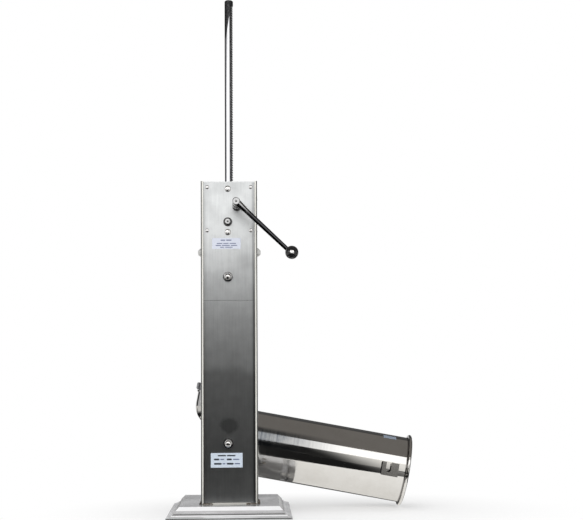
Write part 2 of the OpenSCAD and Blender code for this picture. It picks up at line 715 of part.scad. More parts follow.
// Gaps between the teeth, as an outline in X and Z to cut from the bar.
function rack_gap(z) =
    let (top = rack_pitch_x + rack_m * 0.97, bottom = rack_pitch_x - 1.25 * rack_m,
        half = tooth_pitch / 4 + backlash / 2, k = tan(tooth_angle))
    [[bottom, z - half + (rack_pitch_x - bottom) * k], [top, z - half - (top - rack_pitch_x) * k],
     [rack_r + 2, z - half - (top - rack_pitch_x) * k],
     [rack_r + 2, z + half + (top - rack_pitch_x) * k],
     [top, z + half + (top - rack_pitch_x) * k], [bottom, z + half - (rack_pitch_x - bottom) * k]];
gap_first = -floor((fast_z - rack_foot - rack_flat_low) / tooth_pitch);
gap_last = floor((rack_top - rack_flat_high - fast_z) / tooth_pitch);

module rack() color("dimgray") difference() {
    translate([machine_x, rack_y, 0]) {
        translate([0, 0, rack_foot]) cylinder(r = rack_r, h = rack_top - 2 - rack_foot);
        translate([0, 0, rack_top - 2 - eps]) cylinder(r1 = rack_r, r2 = rack_r - 2, h = 2);
        translate([0, 0, rack_foot - 6]) cylinder(r = 6, h = 7);
    }
    translate([machine_x, 0, 0]) {
        // the teeth are cut down from a flat
        box([rack_pitch_x + rack_m * 0.97, rack_y - 15, fast_z + (gap_first - 0.7) * tooth_pitch],
            [rack_r + 2, rack_y + 15, fast_z + (gap_last + 0.7) * tooth_pitch]);
        along_y(rack_y - 15, rack_y + 15)
            for (k = [gap_first:gap_last]) polygon(rack_gap(fast_z + k * tooth_pitch));
    }
    translate([machine_x, rack_y, rack_foot - 10]) cylinder(r = 4, h = 35);
}

module piston_plate() color("gainsboro") difference() {
    union() {
        translate([machine_x, rack_y, piston_z]) rotate_extrude() polygon([
            [0, 0], [piston_r - 1.5, 0], [piston_r, 1.5], [groove_r, 1.5], [groove_r, piston_t - 1.5],
            [piston_r, piston_t - 1.5], [piston_r - 1.5, piston_t], [groove_r - 5, piston_t],
            [groove_r - 6, 5], [22, 5], [20, piston_t], [0, piston_t]]);
        translate([valve_x, valve_y, piston_z + 4]) cylinder(r = valve_boss_r, h = piston_t - 6);
    }
    translate([machine_x, rack_y, piston_z + piston_t - 6.1]) cylinder(r = 6.05, h = 10);
    translate([machine_x, rack_y, piston_z - 1]) cylinder(r = 4.1, h = 30);
    translate([machine_x, rack_y, piston_z - 1]) cylinder(r = 9.2, h = 6);
    translate([valve_x, valve_y, piston_z]) {
        translate([0, 0, -1]) cylinder(r = valve_disc_r + 0.5, h = 1 + valve_seat);
        translate([0, 0, valve_seat - 1]) cylinder(r = valve_r + 0.06, h = 20);
        translate([0, 0, spring_z0]) cylinder(r = valve_boss_r - 4, h = 20);
    }
}

module piston_seal() color("whitesmoke") translate([machine_x, rack_y, piston_z]) rotate_extrude() polygon(
    concat([[groove_r, 1.6]], arc(seal_r - 4, 5.6, 4, -90, 0), arc(seal_r - 4, piston_t - 5.6, 4, 0, 90),
        [[groove_r, piston_t - 1.6]]));

module piston_screw() color("silver") translate([machine_x, rack_y, piston_z]) difference() {
    union() {
        cylinder(r = 8.6, h = 5);
        cylinder(r = 4, h = 30);
    }
    translate([0, 0, -1]) cylinder(r = 3, h = 4, $fn = 6);
}

// Air release valve: pressing the button drops the disc from its seat, the spring closes it.
module air_valve() color("white") translate([valve_x, valve_y, piston_z]) {
    translate([0, 0, valve_seat - 1.5]) cylinder(r = valve_disc_r, h = 1.45);
    translate([0, 0, valve_seat - 1]) cylinder(r = valve_r, h = spring_z1 + 1.6 - valve_seat);
}

module valve_button() color("white") translate([valve_x, valve_y, piston_z + spring_z1]) difference() {
    rotate_extrude() polygon(concat([[0, 0], [7.5, 0]], arc(6.5, 1.8, 1, 0, 90, 4), [[0, 2.8]]));
    translate([0, 0, -1]) cylinder(r = valve_r, h = 1 + 0.6);
}

module valve_spring() color("silver") translate([valve_x, valve_y, piston_z])
    coil(valve_r + 1.6, 0.5, spring_z0 + 0.6, spring_z1 - 0.6, 3.5);

// Round wire wound from z0 to z1 in a number of turns.
module coil(r, wire, z0, z1, turns) {
    sides = 10;
    steps = round(turns * 20);
    points = [for (i = [0:steps], j = [0:sides - 1]) let (a = 360 * turns * i / steps,
        b = 360 * j / sides, d = r + wire * cos(b))
        [d * cos(a), d * sin(a), z0 + (z1 - z0) * i / steps + wire * sin(b)]];
    polyhedron(points = points, faces = concat(
        [[for (j = [0:sides - 1]) j]],
        [[for (j = [sides - 1:-1:0]) steps * sides + j]],
        [for (i = [0:steps - 1], j = [0:sides - 1]) let (k = (j + 1) % sides)
            each [[i * sides + k, i * sides + j, (i + 1) * sides + j],
                [i * sides + k, (i + 1) * sides + j, (i + 1) * sides + k]]]));
}

// ---------------------------------------------------------------- cylinder

// Puts a shape drawn in the cylinder's own frame into its resting place.
module tilted() {
    translate([machine_x, 0, pivot_z]) rotate([0, swing, 0]) children();
}

module cylinder_tube() color("silver") tilted() translate([0, rack_y, 0]) rotate_extrude() polygon(concat(
    [[bore_r, -below_pivot], [tube_r, -below_pivot], [tube_r, rim_l - 2 * bead_r - 2],
     [tube_r + 0.6, rim_l - 2 * bead_r - 0.8], [tube_r + 1.8, rim_l - 2 * bead_r - 0.1]],
    arc(rim_r - bead_r, rim_l - bead_r, bead_r, -90, 170, 14),
    [[bore_r, rim_l - 4.5]]));

module cylinder_bottom() color("silver") tilted() translate([0, rack_y, 0]) difference() {
    rotate_extrude() polygon([
        [0, -below_pivot], [bore_r, -below_pivot], [bore_r, -below_pivot + 10],
        [bore_r - 1.2, -below_pivot + 10], [bore_r - 1.2, -below_pivot + 3.5],
        [bore_r - 3, -below_pivot + 1.6], [0, -below_pivot + 1.6]]);
    translate([-outlet_x, 0, -below_pivot - 1]) cylinder(r = outlet_r - outlet_t, h = 5);
}

// Folded bracket: a plate across the column's face with legs back to the tube.
module folded_bracket(x0, x1, z0, z1) {
    leg_t = 2.5;
    difference() {
        union() {
            box([x0, bracket_y0, z0], [x1, bracket_y1, z1]);
            for (x = [x0, x1 - leg_t]) box([x, bracket_y1 - 1, z0], [x + leg_t, 40, z1]);
        }
        translate([0, rack_y, z0 - 5]) cylinder(r = tube_r, h = z1 - z0 + 10);
    }
}

module pivot_bracket() color("silver") tilted() difference() {
    folded_bracket(-30, 30, -30, 34);
    bar_y(0, 0, pivot_shoulder_r + 0.05, 0, 10);
}

latch_x0 = -16;
latch_x1 = 13;
latch_slot_r = latch_r + 0.4;
module latch_bracket() color("silver") tilted() difference() {
    folded_bracket(latch_x0, latch_x1, latch_l - 14, latch_l + 22);
    bar_y(0, latch_l, latch_slot_r, 0, 10);
    // the slot is open on the side that meets the stud first, and its leg lets the stud's head by
    box([-30, 0, latch_l - latch_slot_r], [0, 10, latch_l + latch_slot_r]);
    box([-30, bracket_y1, latch_l - 9.8], [latch_x0 + 4, 30, latch_l + 9.8]);
}

module cylinder_label() color("lightsteelblue") tilted() intersection() {
    translate([0, rack_y, 0]) difference() {
        cylinder(r = tube_r + 0.3, h = rim_l - 20);
        translate([0, 0, -1]) cylinder(r = tube_r, h = rim_l);
    }
    translate([0, rack_y, 345]) rotate([0, 0, 21]) box([-90, -7, -14], [-40, 7, 14]);
}

// Pipe wall along X, from x0 to x1.
module pipe_x(x0, x1, r, bore) {
    translate([x0, 0, 0]) rotate([0, 90, 0]) linear_extrude(height = x1 - x0) difference() {
        circle(r = r);
        circle(r = bore);
    }
}

// Pipe bend from the cylinder's closed end to the outlet, which points to -X when upright.
module outlet_elbow() color("silver") tilted() translate([0, rack_y, 0]) {
    translate([bend_x, 0, outlet_z]) rotate([-90, 0, 0]) rotate_extrude(angle = 90)
        translate([bend_r, 0]) difference() {
            circle(r = outlet_r);
            circle(r = outlet_r - outlet_t);
        }
    translate([-outlet_x, 0, outlet_z]) rotate([0, -90, 0]) pipe_x(0, 1, outlet_r, outlet_r - outlet_t);
    translate([0, 0, outlet_z - bend_r]) {
        pipe_x(pipe_end, bend_x, outlet_r, outlet_r - outlet_t);
        // collar that the ring nut stops against
        pipe_x(ring_x1 + 1, ring_x1 + 5, outlet_r + 2.5, outlet_r - outlet_t);
    }
}

module outlet_gasket() color("whitesmoke") tilted() translate([pipe_end - 1.3, rack_y, outlet_z - bend_r])
    rotate([0, 90, 0]) difference() {
        cylinder(r = outlet_r - 0.5, h = 1.3);
        translate([0, 0, -1]) cylinder(r = outlet_r - 3, h = 4);
    }

module ring_nut() color("silver") tilted() translate([0, rack_y, outlet_z - bend_r]) difference() {
    union() {
        translate([ring_x0, 0, 0]) rotate([0, 90, 0]) cylinder(r = ring_r - 1, h = ring_x1 - ring_x0);
        // grip ribs
        for (a = [0:30:330]) rotate([a, 0, 0]) translate([ring_x0 + 1.5, 0, ring_r - 3])
            rotate([0, 90, 0]) cylinder(r = 3, h = ring_x1 - ring_x0 - 3);
    }
    translate([pipe_end - 1.4, 0, 0]) rotate([0, 90, 0]) cylinder(r = outlet_r + 0.05, h = 20);
    translate([ring_x0 - 1, 0, 0]) rotate([0, 90, 0]) cylinder(r = outlet_r - 4, h = 20);
}

base_tray();
base_feet();
centre_pad();
foot_nuts();
column_channel();
foot_welds();
upper_back_panel();
lower_back_panel();
corner_screws();
case_bolts();
case_rear_plate();
gear_case();
head_shroud();
shroud_screws();
top_cover();
cover_screws();
rack_bush_top();
rack_bush_bottom();
fast_rear_bush();
fast_front_bush();
slow_rear_bush();
slow_front_bush();
pivot_bolt();
pivot_washer();
latch_stud();
through_spacers();
cap_nuts();
cap_washers();
upper_label();
lower_label();
fast_shaft();
rack_pinion();
fast_gear();
drive_keys();
fast_shaft_clip();
crank_arm();
crank_set_screw();
knob_stud();
ball_knob();
slow_shaft();
slow_gear();
slow_gear_pin();
slow_shaft_clips();
rack();
piston_plate();
piston_seal();
piston_screw();
air_valve();
valve_button();
valve_spring();
cylinder_tube();
cylinder_bottom();
pivot_bracket();
latch_bracket();
outlet_elbow();
outlet_gasket();
ring_nut();
cylinder_label();
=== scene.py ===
"""Looks for the sausage stuffer: materials, printed bars, weld beads, valve spring, studio and camera.

Lengths are metres in the frame's own axes: +Z up, -Y towards the camera and the crank, +X towards the
cylinder's open end. Several materials grade with place, because the photo's polished sheet mirrors a
studio that the scene has only in part.
"""

import math
import random

import bmesh
import bpy
from mathutils import Matrix, Vector

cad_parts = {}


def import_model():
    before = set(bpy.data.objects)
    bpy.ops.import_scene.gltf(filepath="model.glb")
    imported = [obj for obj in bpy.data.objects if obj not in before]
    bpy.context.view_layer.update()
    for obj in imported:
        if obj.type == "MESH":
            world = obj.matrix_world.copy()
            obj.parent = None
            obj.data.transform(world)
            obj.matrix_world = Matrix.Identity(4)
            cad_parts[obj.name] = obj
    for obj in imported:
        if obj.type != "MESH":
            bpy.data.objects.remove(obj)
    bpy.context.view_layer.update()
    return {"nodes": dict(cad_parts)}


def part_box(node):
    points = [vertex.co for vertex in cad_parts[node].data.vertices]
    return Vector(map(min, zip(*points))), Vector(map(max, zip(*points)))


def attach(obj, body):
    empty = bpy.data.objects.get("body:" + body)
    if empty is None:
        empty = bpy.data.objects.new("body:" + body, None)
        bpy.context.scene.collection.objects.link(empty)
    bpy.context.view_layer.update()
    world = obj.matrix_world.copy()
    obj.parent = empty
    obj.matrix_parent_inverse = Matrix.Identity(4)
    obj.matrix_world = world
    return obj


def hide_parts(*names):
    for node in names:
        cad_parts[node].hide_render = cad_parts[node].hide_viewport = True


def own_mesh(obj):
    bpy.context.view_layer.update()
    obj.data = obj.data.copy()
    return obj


MM = 0.001

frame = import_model()
nodes = frame["nodes"]


# ---------------------------------------------------------------- node tree helpers

class Nodes:
    """A node tree, with short calls for the nodes that repeat."""

    def __init__(self, tree):
        self.tree = tree

    def new(self, kind, **settings):
        node = self.tree.nodes.new(kind)
        for key, value in settings.items():
            setattr(node, key, value)
        return node

    def put(self, socket, value):
        """Links an output to the socket, or sets the socket's own value; a colour may leave out alpha."""
        if isinstance(value, bpy.types.NodeSocket):
            self.tree.links.new(value, socket)
        elif socket.type == "RGBA" and len(value) == 3:
            socket.default_value = (*value, 1.0)
        else:
            socket.default_value = value

    def vector(self, operation, a, b=None):
        node = self.new("ShaderNodeVectorMath", operation=operation)
        self.put(node.inputs[0], a)
        if b is not None:
            self.put(node.inputs[1], b)
        return node

    def math(self, operation, a, b=0.0, clamp=False):
        node = self.new("ShaderNodeMath", operation=operation, use_clamp=clamp)
        self.put(node.inputs[0], a)
        self.put(node.inputs[1], b)
        return node.outputs[0]

    def product(self, first, *others):
        """All of them multiplied together."""
        for other in others:
            first = self.math("MULTIPLY", first, other)
        return first

    def span(self, value, low, high, out_low=0.0, out_high=1.0, smooth=False):
        """Maps low..high to out_low..out_high, held at both ends."""
        node = self.new("ShaderNodeMapRange")
        if smooth:
            node.interpolation_type = "SMOOTHSTEP"
        self.put(node.inputs["Value"], value)
        for key, number in (("From Min", low), ("From Max", high),
                            ("To Min", out_low), ("To Max", out_high)):
            node.inputs[key].default_value = number
        return node.outputs["Result"]

    def mix(self, factor, a, b):
        node = self.new("ShaderNodeMix", data_type="RGBA")
        self.put(node.inputs["Factor"], factor)
        self.put(node.inputs["A"], a)
        self.put(node.inputs["B"], b)
        return node.outputs["Result"]

    def axis(self, letter, vector):
        node = self.new("ShaderNodeSeparateXYZ")
        self.put(node.inputs[0], vector)
        return node.outputs[letter]


class Shader(Nodes):
    """A material. Its place is the surface point in the piece's own coordinates, in metres."""

    def __init__(self, name, metallic, roughness, color):
        self.mat = bpy.data.materials.new(name)
        self.mat.use_nodes = True
        super().__init__(self.mat.node_tree)
        self.bsdf = next(n for n in self.tree.nodes if n.type == "BSDF_PRINCIPLED")
        self.set(Metallic=metallic, Roughness=roughness, Base_Color=color)
        self.place = self.new("ShaderNodeTexCoord").outputs["Object"]

    def set(self, **inputs):
        """Sets inputs of the principled shader, named with _ for a space; returns the material."""
        for key, value in inputs.items():
            self.put(self.bsdf.inputs[key.replace("_", " ")], value)
        return self.mat

    def facing(self):
        """The surface's normal, in world axes."""
        return self.new("ShaderNodeNewGeometry").outputs["Normal"]

    def offset(self, move):
        """The place, moved."""
        return self.vector("ADD", self.place, move).outputs[0]

    def stretch(self, scale, vector=None):
        """The place, or another vector, multiplied by scale on each axis."""
        return self.vector("MULTIPLY", vector or self.place, scale).outputs[0]

    def axis(self, letter, vector=None):
        return super().axis(letter, vector or self.place)

    def noise(self, scale, detail=3.0, rough=0.5, vector=None):
        node = self.new("ShaderNodeTexNoise")
        self.put(node.inputs["Vector"], vector or self.place)
        node.inputs["Scale"].default_value = scale
        node.inputs["Detail"].default_value = detail
        node.inputs["Roughness"].default_value = rough
        return node.outputs["Fac"]

    def hair(self, scale, detail=2.0, rough=0.6, vector=None):
        """Noise drawn out into lines: scale is its cells per metre on each axis."""
        return self.noise(1.0, detail, rough, self.stretch(scale, vector))

    def bump(self, height, strength, distance, normal=None):
        node = self.new("ShaderNodeBump")
        node.inputs["Strength"].default_value = strength
        node.inputs["Distance"].default_value = distance
        self.put(node.inputs["Height"], height)
        if normal is not None:
            self.put(node.inputs["Normal"], normal)
        return node.outputs["Normal"]


# ---------------------------------------------------------------- materials

# Noise cells per metre for a grain that runs up and down: fine hairs, then broader streaks.
UPRIGHT_HAIR = (2600.0, 2600.0, 30.0)
UPRIGHT_STREAK = (420.0, 420.0, 6.0)


def shades(color, factor):
    """The colour made darker or brighter by factor, up to white."""
    return tuple(min(1.0, c * factor) for c in color)


def brushed_steel(name, color, rough, smudges):
    """Stainless sheet with a fine grain that runs up and down; smudges scales its handling marks."""
    s = Shader(name, 1.0, rough, color)
    hair = s.hair(UPRIGHT_HAIR)
    streak = s.hair(UPRIGHT_STREAK, 3.0)
    smear = s.noise(7.0, 3.0, 0.5)
    mark = s.noise(55.0, 4.0, 0.65)
    tone = s.math("ADD", s.span(hair, 0.3, 0.7, -0.10, 0.10), s.span(streak, 0.3, 0.7, -0.04, 0.04))
    tone = s.math("ADD", tone, s.span(smear, 0.35, 0.7, 0.08 * smudges, -0.16 * smudges))
    tone = s.math("ADD", tone, s.span(mark, 0.52, 0.72, 0.0, -0.10 * smudges))
    base = s.mix(s.math("ADD", tone, 0.74, clamp=True), shades(color, 0.5), shades(color, 1.12))
    worn = s.math("ADD", s.span(smear, 0.3, 0.7, -0.03, 0.05), s.span(streak, 0.3, 0.7, -0.02, 0.02))
    return s.set(Base_Color=base, Roughness=s.math("ADD", worn, rough, clamp=True),
                 Normal=s.bump(hair, 0.04, 0.00008))


def polished_steel(name, color, rough, ripple, grain=(900.0, 40.0, 900.0)):
    """Mirror finish with faint polishing lines, smudges and sheet ripple; grain is the lines' stretch."""
    s = Shader(name, 1.0, rough, color)
    hair = s.hair(grain)
    smear = s.noise(22.0, 4.0, 0.6)
    wave = s.noise(9.0, 2.0, 0.5)
    haze = s.math("ADD", s.span(smear, 0.45, 0.75, 0.0, 0.07), s.span(hair, 0.4, 0.8, 0.0, 0.03))
    tint = s.mix(s.span(smear, 0.4, 0.75, 0.0, 0.5), color, shades(color, 0.9))
    normal = s.bump(wave, ripple, 0.0012)
    normal = s.bump(hair, 0.03, 0.00004, normal)
    return s.set(Base_Color=tint, Roughness=s.math("ADD", haze, rough, clamp=True), Normal=normal)


def barrel_sheet(name, color, dip, rim):
    """Mirror-polished tube: polishing lines run round it, and it is duller towards its closed end.
    dip is how far its axis leans below the horizontal; rim is its open end's place along that axis."""
    s = Shader(name, 1.0, 0.05, color)
    along = s.vector("DOT_PRODUCT", s.place, (math.cos(dip), 0.0, -math.sin(dip))).outputs["Value"]
    stack = s.new("ShaderNodeCombineXYZ")
    s.put(stack.inputs[0], along)
    rings = s.hair((900.0, 0.0, 0.0), 3.0, 0.6, stack.outputs[0])
    broad = s.hair((160.0, 0.0, 0.0), 2.0, 0.6, stack.outputs[0])
    smear = s.noise(26.0, 4.0, 0.6)
    wave = s.noise(9.0, 2.0, 0.5)
    dull = s.span(along, 0.02, 0.16, 1.0, 0.0, smooth=True)
    rough = s.math("ADD", s.product(dull, s.span(rings, 0.3, 0.7, 0.05, 0.13)), 0.04)
    rough = s.math("ADD", rough, s.span(smear, 0.45, 0.75, 0.0, 0.06))
    # painted dark reflection along the upper side, which thins out towards the rim
    upward = s.axis("Z", s.facing())
    painted_dark_reflection = s.product(s.span(along, 0.05, 0.25, 1.0, 0.0, smooth=True),
                     s.span(upward, -0.05, 0.12, 0.0, 1.0, smooth=True),
                     s.span(upward, 0.47, 0.60, 1.0, 0.1, smooth=True),
                     s.span(broad, 0.3, 0.7, 0.75, 1.0))
    base = s.mix(painted_dark_reflection, color, (0.075, 0.09, 0.11))
    base = s.mix(s.span(smear, 0.4, 0.75, 0.0, 0.35), base, (0.62, 0.60, 0.56))
    # painted shade: dark lines in the crease where the rim is folded, and at its lip
    fold = s.product(s.span(along, rim - 0.0105, rim - 0.0090, 0.0, 1.0, smooth=True),
                     s.span(along, rim - 0.0075, rim - 0.0058, 1.0, 0.0, smooth=True))
    lip = s.span(along, rim - 0.0022, rim - 0.0008, 0.0, 0.8, smooth=True)
    base = s.mix(s.math("MAXIMUM", fold, lip), base, (0.26, 0.25, 0.24))
    normal = s.bump(wave, 0.2, 0.0012)
    normal = s.bump(rings, 0.04, 0.00006, normal)
    return s.set(Base_Color=base, Roughness=rough, Normal=normal)


def turned_steel(name, color, rough):
    """Machined or plated small part: fine turning marks and light handling marks."""
    s = Shader(name, 1.0, rough, color)
    mark = s.noise(900.0, 2.0, 0.5)
    grime = s.noise(160.0, 4.0, 0.65)
    base = s.mix(s.span(grime, 0.45, 0.75, 0.0, 0.6), color, shades(color, 0.55))
    rough_out = s.math("ADD", s.span(mark, 0.3, 0.7, -0.02, 0.05), rough, clamp=True)
    return s.set(Base_Color=base, Roughness=rough_out, Normal=s.bump(mark, 0.06, 0.00006))


def panel_sheet(name, color):
    """Finely brushed back panel with painted reflection and shade. It grades from pale at its top to dark in
    its lower third and at its edges, brighter again at its foot, with a slanted change of tone part way up
    and two darker round patches, all painted."""
    s = Shader(name, 1.0, 0.3, color)
    hair = s.hair((1400.0, 1400.0, 20.0))
    fine = s.hair((260.0, 260.0, 14.0), 2.0, 0.5)
    smear = s.noise(9.0, 3.0, 0.55)
    mark = s.noise(42.0, 4.0, 0.6)
    x, height = s.axis("X"), s.axis("Z")
    z = s.math("ADD", height, s.span(smear, 0.3, 0.7, -0.014, 0.014))
    # painted shade at both side edges, deeper low down on the right one
    right = s.math("MAXIMUM", s.span(x, 0.0475, 0.0530, 1.0, 0.0, smooth=True),
                   s.span(height, 0.42, 0.62, 0.42, 0.80))
    edge = s.product(s.span(s.math("ABSOLUTE", x), 0.044, 0.054, 1.0, 0.78, smooth=True), right)
    # painted shade in the lower third, with a painted reflection brightening it again at the foot
    low = s.product(s.span(z, 0.285, 0.315, 0.70, 1.0, smooth=True), s.span(z, 0.03, 0.10, 1.5, 1.0))
    # painted reflection: a slanted change of tone part way up, darker below it and again higher up
    slanted = s.math("ADD", z, s.product(x, -0.17))
    fold = s.product(s.span(slanted, 0.516, 0.530, 0.90, 1.0, smooth=True), s.span(z, 0.60, 0.69, 1.0, 0.80))
    tone = s.product(low, edge, fold)
    # painted darker patches of reflection: the place of each, where it starts and ends to fade, and its tone
    for patch_x, patch_z, inner, outer, level in ((-0.001, 0.189, 0.013, 0.023, 0.60),
                                                  (0.036, 0.531, 0.004, 0.030, 0.80)):
        spot = s.vector("LENGTH", s.stretch((1.0, 0.0, 1.1), s.offset((-patch_x, 0.0, -patch_z))))
        wobble = s.math("ADD", spot.outputs["Value"], s.span(mark, 0.3, 0.7, -0.006, 0.006))
        tone = s.product(tone, s.span(wobble, inner, outer, level, 1.0, smooth=True))
    tone = s.product(tone, s.span(fine, 0.25, 0.75, 0.95, 1.05), s.span(hair, 0.25, 0.75, 0.96, 1.04),
                     s.span(mark, 0.30, 0.80, 1.08, 0.90), s.span(smear, 0.3, 0.7, 1.10, 0.92))
    base = s.mix(tone, (0.0, 0.0, 0.003), color)
    rough = s.span(smear, 0.3, 0.7, 0.285, 0.32)
    return s.set(Base_Color=base, Roughness=rough, Normal=s.bump(hair, 0.012, 0.00008))


def pressed_sheet(name, color):
    """Satin pressed sheet with painted reflection: pale bands along its front slopes, darker on its top,
    steps and sides, and painted shade in a crease line.
    """
    s = Shader(name, 1.0, 0.2, color)
    hair = s.hair((30.0, 2600.0, 2600.0))
    smear = s.noise(9.0, 3.0, 0.5)
    mark = s.noise(55.0, 4.0, 0.65)
    normal = s.facing()
    z = s.axis("Z")
    # painted reflection: pale bands on the front slopes, broken by a painted shade line at the crease
    upper = s.span(z, 0.0150, 0.0200, 0.0, 1.0, smooth=True)
    lower = s.span(z, 0.0095, 0.0115, 1.0, 0.0, smooth=True)
    crease = s.math("MAXIMUM", s.span(z, 0.0050, 0.0058, 0.0, 1.0), s.span(z, 0.0028, 0.0036, 0.6, 0.0))
    top = s.span(s.axis("Z", normal), 0.965, 0.995, 0.0, 1.0, smooth=True)
    slope = s.product(s.math("MAXIMUM", upper, lower), crease,
                      s.span(s.axis("Y", normal), -0.5, -0.1, 1.0, 0.25, smooth=True),
                      s.span(top, 0.0, 1.0, 1.0, 0.0))
    # the painted bands and the top are made less metallic and brighter, a painted reflection
    metal = s.math("ADD", s.span(slope, 0.0, 1.0, 0.80, 0.10), s.span(top, 0.0, 1.0, 0.0, -0.25))
    tone = s.math("ADD", s.span(hair, 0.3, 0.7, -0.05, 0.05), s.span(smear, 0.35, 0.7, 0.03, -0.06))
    tone = s.math("ADD", tone, s.span(mark, 0.52, 0.72, 0.0, -0.04))
    tone = s.math("ADD", tone, s.span(slope, 0.0, 1.0, 0.38, 1.0))
    tone = s.math("ADD", tone, s.span(top, 0.0, 1.0, 0.0, 0.16), clamp=True)
    base = s.mix(tone, (0.0, 0.0, 0.002), color)
    rough = s.math("ADD", s.span(smear, 0.3, 0.7, 0.15, 0.22), s.span(mark, 0.5, 0.75, 0.0, 0.04))
    return s.set(Base_Color=base, Metallic=metal, Roughness=rough, Normal=s.bump(hair, 0.04, 0.00008))


def hemmed_sheet(name, color, inner, width, strip_top):
    """Brushed column sheet whose rolled rear hems carry a painted pale reflection inside and painted shade
    along the outer fold.
    inner is the hems' inner edge in X; the strip of sheet below strip_top carries the painted pale
    reflection too."""
    s = Shader(name, 1.0, 0.2, color)
    hair = s.hair(UPRIGHT_HAIR)
    streak = s.hair(UPRIGHT_STREAK, 3.0)
    smear = s.noise(9.0, 3.0, 0.5)
    plain = s.mix(s.span(streak, 0.25, 0.75, 0.0, 0.35), color, shades(color, 0.6))
    x = s.math("ABSOLUTE", s.axis("X"))
    rearward = s.math("LESS_THAN", s.axis("Y", s.facing()), -0.4)
    strip = s.product(s.math("LESS_THAN", s.axis("Z"), strip_top), s.math("LESS_THAN", x, inner - 0.010))
    hem = s.product(rearward, s.math("MAXIMUM", s.math("GREATER_THAN", x, inner - 0.0004), strip))
    # painted pale reflection: the hems' inner part and the strip along the foot
    pale = s.product(s.span(x, inner + 0.56 * width, inner + 0.66 * width, 1.0, 0.0, smooth=True),
                     s.span(x, inner, inner + 0.0007, 0.0, 1.0, smooth=True))
    pale = s.math("MAXIMUM", pale, strip)
    painted_cream = s.mix(s.span(smear, 0.3, 0.7), (0.80, 0.79, 0.74), (0.66, 0.65, 0.60))
    # on the hems: painted shade along the outer fold, the painted pale reflection inside it
    base = s.mix(hem, plain, s.mix(pale, (0.10, 0.10, 0.10), painted_cream))
    metal = s.span(s.product(hem, pale), 0.0, 1.0, 1.0, 0.15)
    rough = s.math("ADD", s.span(smear, 0.3, 0.7, 0.17, 0.26), s.span(hem, 0.0, 1.0, 0.0, 0.12))
    return s.set(Base_Color=base, Metallic=metal, Roughness=rough, Normal=s.bump(hair, 0.04, 0.00008))


def painted_reflection_chrome(name, hub):
    """Chrome painted near-black along the arm as a painted dark reflection, and painted bright about the hub
    as a painted highlight.
    """
    s = Shader(name, 1.0, 0.06, (0.1, 0.1, 0.1))
    reach = s.vector("DISTANCE", s.stretch((1.0, 0.0, 1.0)), (hub.x, 0.0, hub.z)).outputs["Value"]
    near = s.span(reach, 0.012, 0.042, 1.0, 0.0, smooth=True)
    smear = s.noise(90.0, 4.0, 0.6)
    # painted highlight about the hub, painted dark reflection along the arm
    tone = s.mix(near, (0.07, 0.07, 0.075), (0.38, 0.38, 0.38))
    base = s.mix(s.span(smear, 0.5, 0.8, 0.0, 0.4), tone, (0.05, 0.05, 0.05))
    return s.set(Base_Color=base, Roughness=s.span(smear, 0.4, 0.8, 0.05, 0.16),
                 Normal=s.bump(s.noise(160.0), 0.05, 0.0003))


def rack_steel(name, left_x, top_z):
    """Polished round bar with painted dark reflection on its toothed side, its far edge and its top end.
    left_x and top_z are the bar's left side and top; the painted dark of the end comes down as a wedge."""
    plate, painted_dark_tone = (0.78, 0.78, 0.80), (0.030, 0.030, 0.032)
    s = Shader(name, 1.0, 0.06, plate)
    blotch = s.noise(320.0, 4.0, 0.6)
    x = s.axis("X")
    # painted dark reflection: the toothed side, the far edge, and the top end coming down as a wedge
    side = s.span(x, left_x + 0.0100, left_x + 0.0116, 0.0, 1.0, smooth=True)
    edge = s.span(x, left_x + 0.0020, left_x + 0.0036, 0.9, 0.0, smooth=True)
    from_teeth = s.math("MAXIMUM", s.math("SUBTRACT", left_x + 0.0103, x), 0.0)
    slanted = s.math("ADD", s.axis("Z"), s.product(from_teeth, 6.7))
    end = s.span(slanted, top_z - 0.042, top_z - 0.036, 0.0, 1.0, smooth=True)
    painted_dark_reflection = s.math("MAXIMUM", s.math("MAXIMUM", side, edge), end)
    painted_dark_reflection = s.product(painted_dark_reflection, s.span(blotch, 0.25, 0.6, 0.84, 1.0))
    return s.set(Base_Color=s.mix(painted_dark_reflection, plate, painted_dark_tone), Roughness=s.span(painted_dark_reflection, 0.0, 1.0, 0.07, 0.26),
                 Normal=s.bump(blotch, 0.08, 0.0001))


def cast_metal(name, color):
    """Sand-cast skin: coarse grain and uneven tone."""
    s = Shader(name, 0.9, 0.5, color)
    grain = s.noise(900.0, 4.0, 0.6)
    patch = s.noise(60.0, 3.0, 0.5)
    base = s.mix(s.span(patch, 0.3, 0.7, 0.0, 0.6), color, shades(color, 0.7))
    return s.set(Base_Color=base, Roughness=s.span(grain, 0.3, 0.7, 0.38, 0.6),
                 Normal=s.bump(grain, 0.35, 0.0003))


def bronze(name):
    """Porous sintered bronze with oil stains."""
    s = Shader(name, 1.0, 0.35, (0.62, 0.42, 0.20))
    pores = s.noise(2200.0, 2.0, 0.7)
    oil = s.noise(90.0, 3.0, 0.5)
    base = s.mix(s.span(oil, 0.35, 0.7, 0.0, 0.8), (0.66, 0.46, 0.22), (0.34, 0.22, 0.10))
    return s.set(Base_Color=base, Roughness=s.span(oil, 0.3, 0.7, 0.28, 0.45),
                 Normal=s.bump(pores, 0.2, 0.0001))


def plain_polymer(name, color, rough, grain=700.0, depth=0.12):
    """Moulded plastic, rubber or silicone with a fine surface grain and slight soiling."""
    s = Shader(name, 0.0, rough, color)
    grit = s.noise(grain, 3.0, 0.6)
    soil = s.noise(45.0, 4.0, 0.6)
    base = s.mix(s.span(soil, 0.45, 0.8, 0.0, 0.5), color, shades(color, 0.75))
    return s.set(Base_Color=base, Roughness=s.math("ADD", s.span(soil, 0.3, 0.7, -0.04, 0.06), rough),
                 Normal=s.bump(grit, depth, 0.0001))


